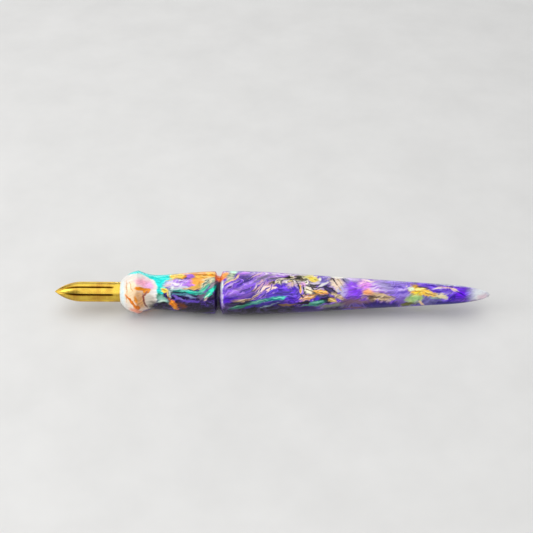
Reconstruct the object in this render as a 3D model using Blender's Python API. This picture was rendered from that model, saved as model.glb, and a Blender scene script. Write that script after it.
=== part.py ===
"""A dip pen: a fluted brass nib, held by a rubber ring in a marbled resin handle that unscrews at its groove.

The pen lies along X with its nib towards -X. The origin is under the middle of its length, on the surface
that it lies on, with +Z up. Lengths below are in millimetres, and a station is a distance along the pen
from the nib's tip. Every piece hangs from an empty that stands on the pen's axis at that tip, and has its
own origin on the axis too, at its front end, so that it turns and slides about the axis.
"""

import math

import bmesh
import bpy
from mathutils import Vector

MM = 0.001
FULL_TURN = 2 * math.pi

# Driving dimensions
PEN_LENGTH = 140.0
HANDLE_RADIUS = 7.0  # of the resin blank: the grip's lip and the barrel's widest ring both reach it
NIB_RADIUS = 3.25
BORE_RADIUS = 4.25  # one drill opens both halves of the handle
FIT = 0.1  # radial gap of a sliding or bonded fit
SEGMENTS = 24  # flats round a turned piece: one faces straight down

# Stations along the pen, from the nib's tip
OGIVE_END = 9.0
FLUTE_START = 0.9
FLUTE_FADE_END = 19.6
GRIP_FRONT = 21.5
LIP_CREST = 27.0
WAIST = 33.2
GRIP_SHOULDER = 51.85  # where the handle's groove begins
GROOVE_FLOOR = 52.6
GRIP_END = 53.4
BARREL_START = GRIP_END + FIT
BARREL_SHOULDER = 54.4
BARREL_WIDEST = 58.0
TAPER_START = 76.0
NOSE_START = 126.2

# Radii of the handle's outline
FRONT_FACE_RADIUS = 3.8
WAIST_RADIUS = 5.53
GRIP_SHOULDER_RADIUS = 6.88
GROOVE_RADIUS = 5.4
TAPER_START_RADIUS = 6.33
NOSE_START_RADIUS = 3.22

# Nib socket and the rubber ring in front of it
SOCKET_SEAT = 23.0  # inner face of the lip that traps the ring
NIB_RING_SECTION = 0.45
NIB_RING_CENTRE = 23.6
SOCKET_START = 24.2
SOCKET_BOTTOM = 37.4
SOCKET_END = 39.6
VENT_RADIUS = 0.75
SHANK_END = SOCKET_BOTTOM - 0.2

# Flutes of the nib
FLUTES = 8
FLUTE_DEPTH = 0.62
FLUTE_HALF_WIDTH = 0.36
FLUTE_TWIST = math.radians(23.7)  # turns the flutes so that a ridge, not a flute, is on top

# Screw joint between grip and barrel
STUD_START = 40.2
STUD_SHOULDER = 53.3
COLLAR_END = 54.7
THREAD_START = 55.1
THREAD_PITCH = 1.0
THREAD_TURNS = 7
THREAD_RADIUS = 3.0
THREAD_DEPTH = 0.6
THREAD_SEGMENTS = 24
CREST_SHARE = 0.15  # flat at a thread's crest, and at its root, as a share of the pitch
STUD_END = 63.2
INSERT_START = 54.6
INSERT_END = 63.9
BARREL_BORE_END = 64.5
JOINT_RING_SECTION = 0.5
JOINT_RING_CENTRE = 53.95
GLUE_GROOVE_DEPTH = 0.25
EDGE_BREAK = 0.25


def clear_scene():
    for obj in list(bpy.data.objects):
        bpy.data.objects.remove(obj, do_unlink=True)


def material(name, colour, roughness, metallic=0.0):
    made = bpy.data.materials.new(name)
    made.use_nodes = True
    shader = made.node_tree.nodes["Principled BSDF"]
    shader.inputs["Base Color"].default_value = (*colour, 1.0)
    shader.inputs["Roughness"].default_value = roughness
    shader.inputs["Metallic"].default_value = metallic
    return made


def place(station, radius, angle):
    """A point in metres, from its station, its distance from the axis and its angle about +X from +Y."""
    return Vector((station, radius * math.cos(angle), radius * math.sin(angle))) * MM


def bezier(start, leave, arrive, end, steps):
    """Points of a cubic curve after its start, up to and including its end."""
    points = []
    for step in range(1, steps + 1):
        t = step / steps
        weights = ((1 - t) ** 3, 3 * t * (1 - t) ** 2, 3 * t * t * (1 - t), t ** 3)
        points.append(tuple(
            sum(w * p[axis] for w, p in zip(weights, (start, leave, arrive, end)))
            for axis in (0, 1)
        ))
    return points


def ring(bm, station, radius, segments=SEGMENTS):
    """A circle of vertices whose flats, not corners, lie at the radius, or one vertex on the axis."""
    if radius == 0:
        return [bm.verts.new(place(station, 0, 0))]
    half = math.pi / segments
    corner = radius / math.cos(half)
    return [
        bm.verts.new(place(station, corner, FULL_TURN * i / segments + half))
        for i in range(segments)
    ]


def skin(bm, first, second):
    """Faces from one ring to the next, either of which may be a single vertex."""
    count = max(len(first), len(second))
    for i in range(count):
        j = (i + 1) % count
        corners = [first[i % len(first)], first[j % len(first)]]
        corners += [second[j % len(second)], second[i % len(second)]]
        bm.faces.new(list(dict.fromkeys(corners)))


def thread(bm, before, after, start, base_radius, ridge_radius):
    """A helical ridge, right-handed about +X, between two rings at the base radius.

    Four helices follow the ridge's profile: its foot, its crest's two edges and its other foot. The ridge
    rises from a low step over the first turn and sinks to one over the last.
    """
    per_turn = THREAD_SEGMENTS
    last = THREAD_TURNS * per_turn
    corner = 1 / math.cos(math.pi / per_turn)
    flank = 0.5 - CREST_SHARE
    profile = (
        (0, base_radius),
        (flank, ridge_radius),
        (flank + CREST_SHARE, ridge_radius),
        (2 * flank + CREST_SHARE, base_radius),
    )
    helices = []
    for offset, radius in profile:
        helix = []
        for step in range(last + 1):
            growth = max(0.15, min(1.0, step / per_turn, (last - step) / per_turn))
            station = start + THREAD_PITCH * (step / per_turn + offset)
            height = base_radius + (radius - base_radius) * growth
            angle = FULL_TURN * step / per_turn + math.pi / per_turn
            helix.append(bm.verts.new(place(station, height * corner, angle)))
        helices.append(helix)
    foot = helices[0]
    far_foot = helices[-1]
    for near, far in zip(helices, helices[1:]):
        for step in range(last):
            bm.faces.new((near[step], near[step + 1], far[step + 1], far[step]))
    for step in range(last - per_turn):
        next_turn = step + per_turn
        bm.faces.new((far_foot[step], far_foot[step + 1], foot[next_turn + 1], foot[next_turn]))
    tail = far_foot[last - per_turn:]
    for step in range(per_turn - 1):
        bm.faces.new((before[step], before[step + 1], foot[step + 1], foot[step]))
        bm.faces.new((tail[step + 1], tail[step + 2], after[(step + 2) % per_turn], after[step + 1]))
    for step in (0, last):
        bm.faces.new([helix[step] for helix in helices])
    bm.faces.new((before[-1], before[0], foot[0], far_foot[0], foot[per_turn], foot[per_turn - 1]))
    bm.faces.new((tail[0], tail[1], after[1], after[0], tail[-1], foot[last]))


def finish(bm, name, finish_material):
    """Hangs the bmesh from the pen's axis as an object with its origin at its front, smooth but for edges."""
    bmesh.ops.recalc_face_normals(bm, faces=bm.faces[:])
    front = min(vertex.co.x for vertex in bm.verts)
    bmesh.ops.translate(bm, verts=bm.verts[:], vec=(-front, 0, 0))
    mesh = bpy.data.meshes.new(name)
    bm.to_mesh(mesh)
    bm.free()
    mesh.materials.append(finish_material)
    mesh.shade_smooth()
    mesh.set_sharp_from_angle(angle=math.radians(30))
    obj = bpy.data.objects.new(name, mesh)
    obj.parent = bpy.data.objects["pen_axis"]
    obj.location.x = front
    bpy.context.scene.collection.objects.link(obj)


def turn(name, outline, finish_material, closed, segments=SEGMENTS):
    """A turned piece. An open outline starts and ends on the axis; a closed one goes round a tube's wall."""
    bm = bmesh.new()
    rings = [ring(bm, station, radius, segments) for station, radius in outline]
    for first, second in zip(rings, rings[1:] + rings[:1] if closed else rings[1:]):
        skin(bm, first, second)
    finish(bm, name, finish_material)


def rubber_ring(name, centre, inner_radius, section, finish_material):
    """An O-ring round the pen's axis, round in section."""
    sides = 10
    outline = [
        (
            centre + section * math.cos(FULL_TURN * i / sides),
            inner_radius + section * (1 + math.sin(FULL_TURN * i / sides)),
        )
        for i in range(sides)
    ]
    turn(name, outline, finish_material, closed=True)


def glue_grooves(start, end, radius, count):
    """Shallow rings that key a bonded cylinder into the resin, spread evenly from start to end."""
    spacing = (end - start) / (count + 1)
    points = []
    for i in range(1, count + 1):
        middle = start + i * spacing
        points += [
            (middle - 2 * GLUE_GROOVE_DEPTH, radius),
            (middle, radius - GLUE_GROOVE_DEPTH),
            (middle + 2 * GLUE_GROOVE_DEPTH, radius),
        ]
    return points


def nib_radius(station):
    """The nib's outside, without flutes: a tangent ogive, then a plain cylinder."""
    if station >= OGIVE_END:
        return NIB_RADIUS
    curve = (NIB_RADIUS ** 2 + OGIVE_END ** 2) / (2 * NIB_RADIUS)
    return math.sqrt(curve ** 2 - (OGIVE_END - station) ** 2) + NIB_RADIUS - curve


def flute_depth(station):
    """How deep the flutes are: shallow at the tip, full along the shank, and running out before the grip."""
    rise = min(1.0, max(0.0, (station - FLUTE_START) / (OGIVE_END * 0.6)))
    run_out = min(1.0, max(0.0, (FLUTE_FADE_END - station) / (2 * FLUTE_DEPTH)))
    return FLUTE_DEPTH * rise * math.sqrt(1 - (1 - run_out) ** 2)


def make_nib(brass):
    """The fluted nib with its plain shank, as rings whose corners crowd round each flute."""
    flute_angle = FULL_TURN / FLUTES
    shares = (-1.0, -0.45, 0.0, 0.45, 1.0)  # across a flute, from edge to edge
    stations = [
        OGIVE_END * (i / 10) ** 1.3 for i in range(1, 11)
    ] + [14.0, 18.2, 18.6, 19.0, 19.3, FLUTE_FADE_END, SHANK_END - EDGE_BREAK]
    bm = bmesh.new()
    rows = [ring(bm, 0.0, 0)]
    for station in stations:
        outside = nib_radius(station)
        depth = min(flute_depth(station), 0.4 * outside)
        half_width = min(FLUTE_HALF_WIDTH / outside, 0.33 * flute_angle)
        row = []
        for flute in range(FLUTES):
            middle = FLUTE_TWIST + flute * flute_angle
            for share in shares:
                radius = outside - depth * (1 - share ** 2)
                row.append(bm.verts.new(place(station, radius, middle + share * half_width)))
            row.append(bm.verts.new(place(station, outside, middle + flute_angle / 2)))
        rows.append(row)
    end_row = []
    for vertex in rows[-1]:
        scale = 1 - EDGE_BREAK / NIB_RADIUS
        end_row.append(bm.verts.new((SHANK_END * MM, vertex.co.y * scale, vertex.co.z * scale)))
    rows += [end_row, ring(bm, SHANK_END, 0)]
    for first, second in zip(rows, rows[1:]):
        skin(bm, first, second)
    finish(bm, "nib", brass)


def make_socket(brass):
    """The blind bush that guides the nib's shank, with a vent so that the nib slides in without a cushion of air."""
    outer = BORE_RADIUS - FIT
    inner = NIB_RADIUS + FIT
    outline = [
        (SOCKET_START, inner),
        (SOCKET_START, outer - EDGE_BREAK),
        (SOCKET_START + EDGE_BREAK, outer),
        *glue_grooves(SOCKET_START, SOCKET_END, outer, 3),
        (SOCKET_END - EDGE_BREAK, outer),
        (SOCKET_END, outer - EDGE_BREAK),
        (SOCKET_END, VENT_RADIUS),
        (SOCKET_BOTTOM + 1.2, VENT_RADIUS),
        (SOCKET_BOTTOM, inner),
    ]
    turn("nib_socket", outline, brass, closed=True)


def grip_outline():
    """The grip's wall: flat front ring, domed lip, crest, finger waist, shoulder, groove floor and bore."""
    front = (GRIP_FRONT, FRONT_FACE_RADIUS)
    crest = (LIP_CREST, HANDLE_RADIUS)
    crest_front = (LIP_CREST - 0.7, HANDLE_RADIUS - 0.17)
    crest_back = (LIP_CREST + 0.8, HANDLE_RADIUS - 0.3)
    waist = (WAIST, WAIST_RADIUS)
    shoulder = (GRIP_SHOULDER, GRIP_SHOULDER_RADIUS)
    inner = NIB_RADIUS + FIT
    return [
        (GRIP_FRONT, inner),
        front,
        *bezier(front, (22.5, 5.2), (24.3, 6.45), crest_front, 7),
        *bezier(crest_front, (LIP_CREST - 0.35, 6.92), (LIP_CREST - 0.15, 7.0), crest, 2),
        *bezier(crest, (LIP_CREST + 0.15, 7.0), (LIP_CREST + 0.4, 6.88), crest_back, 2),
        *bezier(crest_back, (29.2, 6.1), (30.6, WAIST_RADIUS), waist, 6),
        *bezier(waist, (37.5, WAIST_RADIUS + 0.1), (45.5, 6.85), shoulder, 7),
        (GROOVE_FLOOR, GROOVE_RADIUS),
        (GRIP_END, GROOVE_RADIUS),
        (GRIP_END, BORE_RADIUS),
        (SOCKET_SEAT, BORE_RADIUS),
        (SOCKET_SEAT, inner),
    ]


def barrel_outline():
    """The barrel from the bottom of its bore, out over its mouth and shoulder, and down the taper to its nose."""
    widest = (BARREL_WIDEST, HANDLE_RADIUS)
    shoulder = (BARREL_SHOULDER, HANDLE_RADIUS - 0.08)
    taper = (TAPER_START, TAPER_START_RADIUS)
    nose = (NOSE_START, NOSE_START_RADIUS)
    slope = (TAPER_START_RADIUS - NOSE_START_RADIUS) / (NOSE_START - TAPER_START)
    drill_point = BORE_RADIUS * math.tan(math.radians(31))
    return [
        (BARREL_BORE_END + drill_point, 0),
        (BARREL_BORE_END, BORE_RADIUS),
        (BARREL_START, BORE_RADIUS),
        (BARREL_START, GROOVE_RADIUS + FIT),
        (BARREL_SHOULDER - 0.25, HANDLE_RADIUS - 0.3),
        shoulder,
        *bezier(shoulder, (BARREL_SHOULDER + 1.2, 6.97), (BARREL_WIDEST - 1.2, HANDLE_RADIUS), widest, 3),
        *bezier(widest, (66.0, HANDLE_RADIUS), (70.0, TAPER_START_RADIUS + 6 * slope), taper, 6),
        nose,
        *bezier(nose, (133.5, NOSE_START_RADIUS - 7.3 * slope), (PEN_LENGTH, 1.35), (PEN_LENGTH, 0), 9),
    ]


def make_stud(brass):
    """The screw that joins the halves: a plain root bonded into the grip, and a threaded nose."""
    outer = BORE_RADIUS - FIT
    base = THREAD_RADIUS - THREAD_DEPTH
    root = [
        (STUD_START, 0),
        (STUD_START, outer - EDGE_BREAK),
        (STUD_START + EDGE_BREAK, outer),
        *glue_grooves(STUD_START, STUD_SHOULDER, outer, 4),
        (STUD_SHOULDER, outer),
        (STUD_SHOULDER, THREAD_RADIUS),
        (COLLAR_END, THREAD_RADIUS),
        (THREAD_START - FIT, base),
    ]
    nose = [
        (STUD_END - 4 * FIT, base),
        (STUD_END, base - 4 * FIT),
        (STUD_END, 0),
    ]
    bm = bmesh.new()
    root_rings = [ring(bm, station, radius, THREAD_SEGMENTS) for station, radius in root]
    nose_rings = [ring(bm, station, radius, THREAD_SEGMENTS) for station, radius in nose]
    for rings in (root_rings, nose_rings):
        for first, second in zip(rings, rings[1:]):
            skin(bm, first, second)
    thread(bm, root_rings[-1], nose_rings[0], THREAD_START, base, THREAD_RADIUS)
    finish(bm, "joint_stud", brass)


def make_insert(brass):
    """The threaded bush bonded into the barrel's mouth, whose ridge runs half a pitch behind the stud's."""
    outer = BORE_RADIUS - FIT
    floor = THREAD_RADIUS + 1.2 * FIT
    wall = [
        (INSERT_END - 2 * FIT, floor),
        (INSERT_END, floor + 2 * FIT),
        (INSERT_END, outer - EDGE_BREAK),
        (INSERT_END - EDGE_BREAK, outer),
        *reversed(glue_grooves(INSERT_START, INSERT_END, outer, 3)),
        (INSERT_START + EDGE_BREAK, outer),
        (INSERT_START, outer - EDGE_BREAK),
        (INSERT_START, floor + 2 * FIT),
        (INSERT_START + 2 * FIT, floor),
    ]
    bm = bmesh.new()
    rings = [ring(bm, station, radius, THREAD_SEGMENTS) for station, radius in wall]
    for first, second in zip(rings, rings[1:]):
        skin(bm, first, second)
    thread(bm, rings[-1], rings[0], THREAD_START + THREAD_PITCH / 2, floor, floor - THREAD_DEPTH)
    finish(bm, "barrel_insert", brass)


def main():
    clear_scene()
    pen_axis = bpy.data.objects.new("pen_axis", None)
    pen_axis.location = Vector((-PEN_LENGTH / 2, 0, HANDLE_RADIUS)) * MM
    bpy.context.scene.collection.objects.link(pen_axis)
    gold_brass = material("gold_brass", (0.83, 0.60, 0.16), 0.28, 1.0)
    turned_brass = material("turned_brass", (0.74, 0.55, 0.25), 0.35, 1.0)
    rubber = material("black_rubber", (0.02, 0.02, 0.02), 0.6)
    grip_resin = material("grip_resin", (0.55, 0.50, 0.52), 0.12)
    barrel_resin = material("barrel_resin", (0.33, 0.15, 0.68), 0.12)

    make_nib(gold_brass)
    rubber_ring("nib_o_ring", NIB_RING_CENTRE, NIB_RADIUS + FIT / 2, NIB_RING_SECTION, rubber)
    make_socket(turned_brass)
    turn("grip", grip_outline(), grip_resin, closed=True)
    make_stud(turned_brass)
    rubber_ring("joint_o_ring", JOINT_RING_CENTRE, THREAD_RADIUS + 1.2 * FIT, JOINT_RING_SECTION, rubber)
    make_insert(turned_brass)
    turn("barrel", barrel_outline(), barrel_resin, closed=False)


main()
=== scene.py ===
"""Looks of the dip pen: fine turned surfaces, a fluted brass nib and marbled, pearly resin.

Shapes and patterns are laid out in millimetres from the nib's tip, on the pen's own axis, and turned into
metres where a mesh is made.
"""
import math

import bmesh
import bpy
from mathutils import Matrix, Vector


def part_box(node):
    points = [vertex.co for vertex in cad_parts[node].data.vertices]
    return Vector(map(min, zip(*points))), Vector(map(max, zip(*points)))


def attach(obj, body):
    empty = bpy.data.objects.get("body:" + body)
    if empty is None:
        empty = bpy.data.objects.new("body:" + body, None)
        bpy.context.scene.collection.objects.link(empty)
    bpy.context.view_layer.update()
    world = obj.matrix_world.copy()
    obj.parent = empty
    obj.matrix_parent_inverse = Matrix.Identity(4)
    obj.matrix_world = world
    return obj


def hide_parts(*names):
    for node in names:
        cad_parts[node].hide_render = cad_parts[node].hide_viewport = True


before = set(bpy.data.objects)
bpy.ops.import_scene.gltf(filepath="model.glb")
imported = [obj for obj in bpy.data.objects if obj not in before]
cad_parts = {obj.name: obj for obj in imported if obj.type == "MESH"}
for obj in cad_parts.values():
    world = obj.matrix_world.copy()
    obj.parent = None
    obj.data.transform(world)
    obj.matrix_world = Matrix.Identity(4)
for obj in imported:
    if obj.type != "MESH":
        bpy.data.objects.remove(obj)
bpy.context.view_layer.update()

MM = 0.001
FULL_TURN = 2 * math.pi
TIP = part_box("nib")[0].x
AXIS_Z = sum(corner.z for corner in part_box("barrel")) / 2
PEN_LENGTH = 140.0
VIEW_ELEVATION = math.radians(40)  # the marbling is laid out as it is seen from this height...
VIEW_DISTANCE = 332.0  # ...and from this far away, in front of the pen's middle


# Outline of the pen -----------------------------------------------------------------------------------

HANDLE_RADIUS = 7.0
NIB_RADIUS = 3.25
BORE_RADIUS = 4.25  # the bores that hold the bushes and the stud
NIB_CLEARANCE = 0.1  # round the nib in the grip's front ring
GRIP_FRONT = 21.5
GRIP_BORE_START = 23.0
GRIP_END = 53.4
BARREL_START = 53.5
BARREL_BORE_END = 64.5
DRILL_SLOPE = math.radians(31)  # of the cone that ends the barrel's bore
SOFT_RIM = 0.12  # of the grip's front ring, inside


def bezier(start, leave, arrive, end, steps):
    """Points of a cubic curve after its start, up to and including its end."""
    points = []
    for step in range(1, steps + 1):
        t = step / steps
        weights = ((1 - t) ** 3, 3 * t * (1 - t) ** 2, 3 * t * t * (1 - t), t ** 3)
        points.append(tuple(
            sum(w * p[axis] for w, p in zip(weights, (start, leave, arrive, end)))
            for axis in (0, 1)
        ))
    return points


def chain(points, longest):
    """Straight runs between the points, cut so that no step is longer than the given length."""
    line = [points[0]]
    for (s0, r0), (s1, r1) in zip(points, points[1:]):
        cuts = max(1, math.ceil(math.hypot(s1 - s0, r1 - r0) / longest))
        line += [(s0 + (s1 - s0) * i / cuts, r0 + (r1 - r0) * i / cuts) for i in range(1, cuts + 1)]
    return line


def grip_surface():
    """The grip's outside, from the rim of its front ring to the floor of the groove."""
    front = (GRIP_FRONT, 3.72)
    crest_front = (26.3, 6.83)
    crest = (27.0, 7.0)
    crest_back = (27.8, 6.7)
    waist = (33.2, 5.53)
    shoulder = (51.6, 6.86)
    return [
        front,
        (GRIP_FRONT + 0.03, 3.8),
        *bezier((GRIP_FRONT + 0.03, 3.8), (22.5, 5.2), (24.3, 6.35), crest_front, 26),
        *bezier(crest_front, (26.6, 6.9), (26.8, 7.0), crest, 8),
        *bezier(crest, (27.2, 7.0), (27.4, 6.87), crest_back, 8),
        *bezier(crest_back, (29.2, 6.1), (30.6, 5.53), waist, 22),
        *bezier(waist, (37.5, 5.63), (45.5, 6.83), shoulder, 40),
        *bezier(shoulder, (51.75, 6.87), (51.88, 6.8), (51.95, 6.62), 4),
        *bezier((51.95, 6.62), (52.4, 5.65), (52.4, 5.45), (52.9, 5.4), 8),
        (GRIP_END, 5.4),
    ]


def barrel_surface():
    """The barrel's outside, from its mouth in the groove to its nose."""
    shoulder = (54.4, 6.9)
    widest = (58.0, HANDLE_RADIUS)
    taper = (76.0, 6.33)
    nose = (126.2, 3.22)
    slope = (taper[1] - nose[1]) / (nose[0] - taper[0])
    return [
        (BARREL_START, 5.44),
        *bezier((BARREL_START, 5.44), (53.62, 5.6), (53.9, 6.3), (54.08, 6.62), 7),
        *bezier((54.08, 6.62), (54.17, 6.8), (54.27, 6.88), shoulder, 4),
        *bezier(shoulder, (55.6, 6.97), (56.8, HANDLE_RADIUS), widest, 10),
        *bezier(widest, (66.0, HANDLE_RADIUS), (70.0, taper[1] + 6 * slope), taper, 30),
        *chain([taper, nose], 1.2)[1:],
        *bezier(nose, (133.5, nose[1] - 7.3 * slope), (PEN_LENGTH, 1.35), (PEN_LENGTH, 0), 40),
    ]


SURFACE = grip_surface() + barrel_surface()


def surface_radius(station):
    """Radius of the handle's outside at a station."""
    for (s0, r0), (s1, r1) in zip(SURFACE, SURFACE[1:]):
        if s0 <= station <= s1 and s1 > s0:
            return r0 + (r1 - r0) * (station - s0) / (s1 - s0)
    return SURFACE[0][1] if station < SURFACE[0][0] else 0.0


# Meshes -----------------------------------------------------------------------------------------------

def place(station, radius, angle):
    """A point in metres in the pen's frame, from its angle about +X from +Y."""
    return Vector((
        TIP + station * MM,
        radius * math.cos(angle) * MM,
        AXIS_Z + radius * math.sin(angle) * MM,
    ))


def skin(bm, rows):
    """Faces from each ring of points to the next. A ring of one point is a tip."""
    for first, second in zip(rows, rows[1:]):
        count = max(len(first), len(second))
        for i in range(count):
            j = (i + 1) % count
            corners = [first[i % len(first)], first[j % len(first)]]
            corners += [second[j % len(second)], second[i % len(second)]]
            bm.faces.new(list(dict.fromkeys(corners)))


def piece(bm, name, body, cad_node, material, sharp=35):
    """Makes the mesh stand for a CAD node and move with its body."""
    bmesh.ops.recalc_face_normals(bm, faces=bm.faces[:])
    mesh = bpy.data.meshes.new(name)
    bm.to_mesh(mesh)
    bm.free()
    mesh.materials.append(material)
    mesh.shade_smooth()
    mesh.set_sharp_from_angle(angle=math.radians(sharp))
    obj = bpy.data.objects.new(name, mesh)
    bpy.context.scene.collection.objects.link(obj)
    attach(obj, body)
    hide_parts(cad_node)


def turned(outline, closed, segments=144):
    """A turned solid. An open outline starts and ends on the axis; a closed one goes round a tube's wall."""
    bm = bmesh.new()
    rows = []
    for station, radius in outline:
        if radius == 0:
            rows.append([bm.verts.new(place(station, 0, 0))])
        else:
            rows.append([
                bm.verts.new(place(station, radius, FULL_TURN * i / segments))
                for i in range(segments)
            ])
    skin(bm, rows + rows[:1] if closed else rows)
    return bm


GROOVE = "groove"  # how deep in a flute each point of the nib lies, for the painted shade in the flutes
FLUTES = 8
FLUTE_DEPTH = 0.62
FLUTE_HALF_WIDTH = 0.34
FLUTE_TWIST = math.radians(23.7)
FLUTE_STEPS = 16  # points across a flute...
CROWN_STEPS = 12  # ...and across the ridge beside it
OGIVE_END = 9.0
CLOSE_RINGS_START = 17.6  # the mesh's rings lie closer from here on, where the flutes run out
RUN_OUT_LENGTH = 1.3
FLUTE_END = 19.5
SHANK_END = 37.2
SHANK_BEVEL = 0.25


def nib_radius(station):
    """The nib's outside, without flutes: a tangent ogive with a fine rounded point, then a cylinder."""
    if station >= OGIVE_END:
        return NIB_RADIUS
    curve = (NIB_RADIUS ** 2 + OGIVE_END ** 2) / (2 * NIB_RADIUS)
    return math.sqrt(max(0.0, curve ** 2 - (OGIVE_END - station) ** 2)) + NIB_RADIUS - curve


def flute_depth(station):
    """How deep the flutes are: shallow at the tip, full along the shank, scooped out at their end."""
    rise = min(1.0, max(0.0, (station - 0.5) / (OGIVE_END * 0.62)))
    run_out = min(1.0, max(0.0, (FLUTE_END - station) / RUN_OUT_LENGTH))
    return FLUTE_DEPTH * (0.25 + 0.75 * rise) * math.sqrt(1 - (1 - run_out) ** 2)


def nib_mesh():
    """The fluted nib: ridges with a slightly flattened crown, and round-bottomed flutes with crisp edges."""
    flute_angle = FULL_TURN / FLUTES
    stations = [OGIVE_END * (i / 44) ** 1.6 for i in range(1, 45)]
    stations += [OGIVE_END + (CLOSE_RINGS_START - OGIVE_END) * i / 14 for i in range(1, 15)]
    stations += [CLOSE_RINGS_START + (FLUTE_END - CLOSE_RINGS_START) * i / 16 for i in range(1, 17)]
    stations += [20.2, 21.0, 23.0, SHANK_END - SHANK_BEVEL]
    bm = bmesh.new()
    groove = bm.verts.layers.float.new(GROOVE)
    rows = [[bm.verts.new(place(0.0, 0, 0))]]
    for station in stations:
        outside = nib_radius(station)
        depth = min(flute_depth(station), 0.34 * outside)
        half_width = min(FLUTE_HALF_WIDTH / outside, 0.36 * flute_angle)
        half_width *= 0.25 + 0.75 * min(1.0, depth / FLUTE_DEPTH * 1.6) if station > OGIVE_END else 1.0
        crown_width = flute_angle - 2 * half_width
        row = []
        for flute in range(FLUTES):
            middle = FLUTE_TWIST + flute * flute_angle
            for i in range(FLUTE_STEPS + CROWN_STEPS):
                if i < FLUTE_STEPS:
                    share = 2 * i / FLUTE_STEPS - 1
                    angle = middle + share * half_width
                    cut = depth * (1 - abs(share) ** 2.2)
                else:
                    angle = middle + half_width + (i - FLUTE_STEPS) / CROWN_STEPS * crown_width
                    cut = 0.0
                vertex = bm.verts.new(place(station, outside - cut, angle))
                vertex[groove] = cut / FLUTE_DEPTH
                row.append(vertex)
        rows.append(row)
    end_radius = NIB_RADIUS - SHANK_BEVEL
    end_row = []
    for vertex in rows[-1]:
        y, z = vertex.co.y, vertex.co.z - AXIS_Z
        end_row.append(bm.verts.new(place(SHANK_END, end_radius, math.atan2(z, y))))
    rows += [end_row, [bm.verts.new(place(SHANK_END, 0, 0))]]
    skin(bm, rows)
    return bm


# Material nodes ---------------------------------------------------------------------------------------

def shade(hex_colour):
    """A colour in linear light from its usual hexadecimal name."""
    channels = [int(hex_colour[i:i + 2], 16) / 255 for i in (0, 2, 4)]
    linear = [c / 12.92 if c <= 0.04045 else ((c + 0.055) / 1.055) ** 2.4 for c in channels]
    return (*linear, 1.0)


def node(tree, kind, inputs=(), **settings):
    """Adds a node, sets it up and feeds its inputs with values or with other nodes' outputs."""
    made = tree.nodes.new(kind)
    for key, value in settings.items():
        setattr(made, key, value)
    for key, value in dict(inputs).items():
        if isinstance(value, bpy.types.NodeSocket):
            tree.links.new(value, made.inputs[key])
        else:
            made.inputs[key].default_value = value
    return made


def math_node(tree, operation, *values):
    return node(tree, "ShaderNodeMath", dict(enumerate(values)), operation=operation).outputs[0]


def vector_node(tree, operation, *values):
    return node(tree, "ShaderNodeVectorMath", dict(enumerate(values)), operation=operation).outputs[0]


def noise(tree, where, scale, detail, roughness=0.5, output=0):
    """Soft noise about 0.5: output 0 is a number, output 1 a vector."""
    return node(
        tree,
        "ShaderNodeTexNoise",
        {"Vector": where, "Scale": scale, "Detail": detail, "Roughness": roughness},
    ).outputs[output]


def mix(tree, factor, under, over, blend="MIX"):
    """One colour laid over another: a colour mix's own sockets are inputs 6 and 7 and output 2."""
    sockets = {0: factor, 6: under, 7: over}
    return node(tree, "ShaderNodeMix", sockets, data_type="RGBA", blend_type=blend).outputs[2]


def ramp(tree, factor, stops):
    """Colours that run into one another. Each stop is a position and a hexadecimal colour, in order."""
    made = node(tree, "ShaderNodeValToRGB", {0: factor})
    elements = made.color_ramp.elements
    for position, _ in stops[2:]:
        elements.new(position)
    for element, (position, colour) in zip(elements, stops):
        element.position = position
        element.color = shade(colour)
    return made.outputs[0]


def smooth_step(tree, value, low, high, to_low=0.0, to_high=1.0):
    """Runs smoothly from one result to the other as the value goes from low to high."""
    return node(
        tree,
        "ShaderNodeMapRange",
        {"Value": value, "From Min": low, "From Max": high, "To Min": to_low, "To Max": to_high},
        interpolation_type="SMOOTHSTEP",
    ).outputs[0]


def new_material(name):
    """A new material: returns it, its tree, its shader and each point's place in metres."""
    made = bpy.data.materials.new(name)
    made.use_nodes = True
    tree = made.node_tree
    points = node(tree, "ShaderNodeTexCoord").outputs["Object"]
    return made, tree, tree.nodes["Principled BSDF"], points


def link_inputs(tree, shader, sockets):
    for key, value in sockets.items():
        tree.links.new(value, shader.inputs[key])


def set_inputs(shader, numbers):
    for key, value in numbers.items():
        shader.inputs[key].default_value = value


# Marbled resin ----------------------------------------------------------------------------------------

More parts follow.
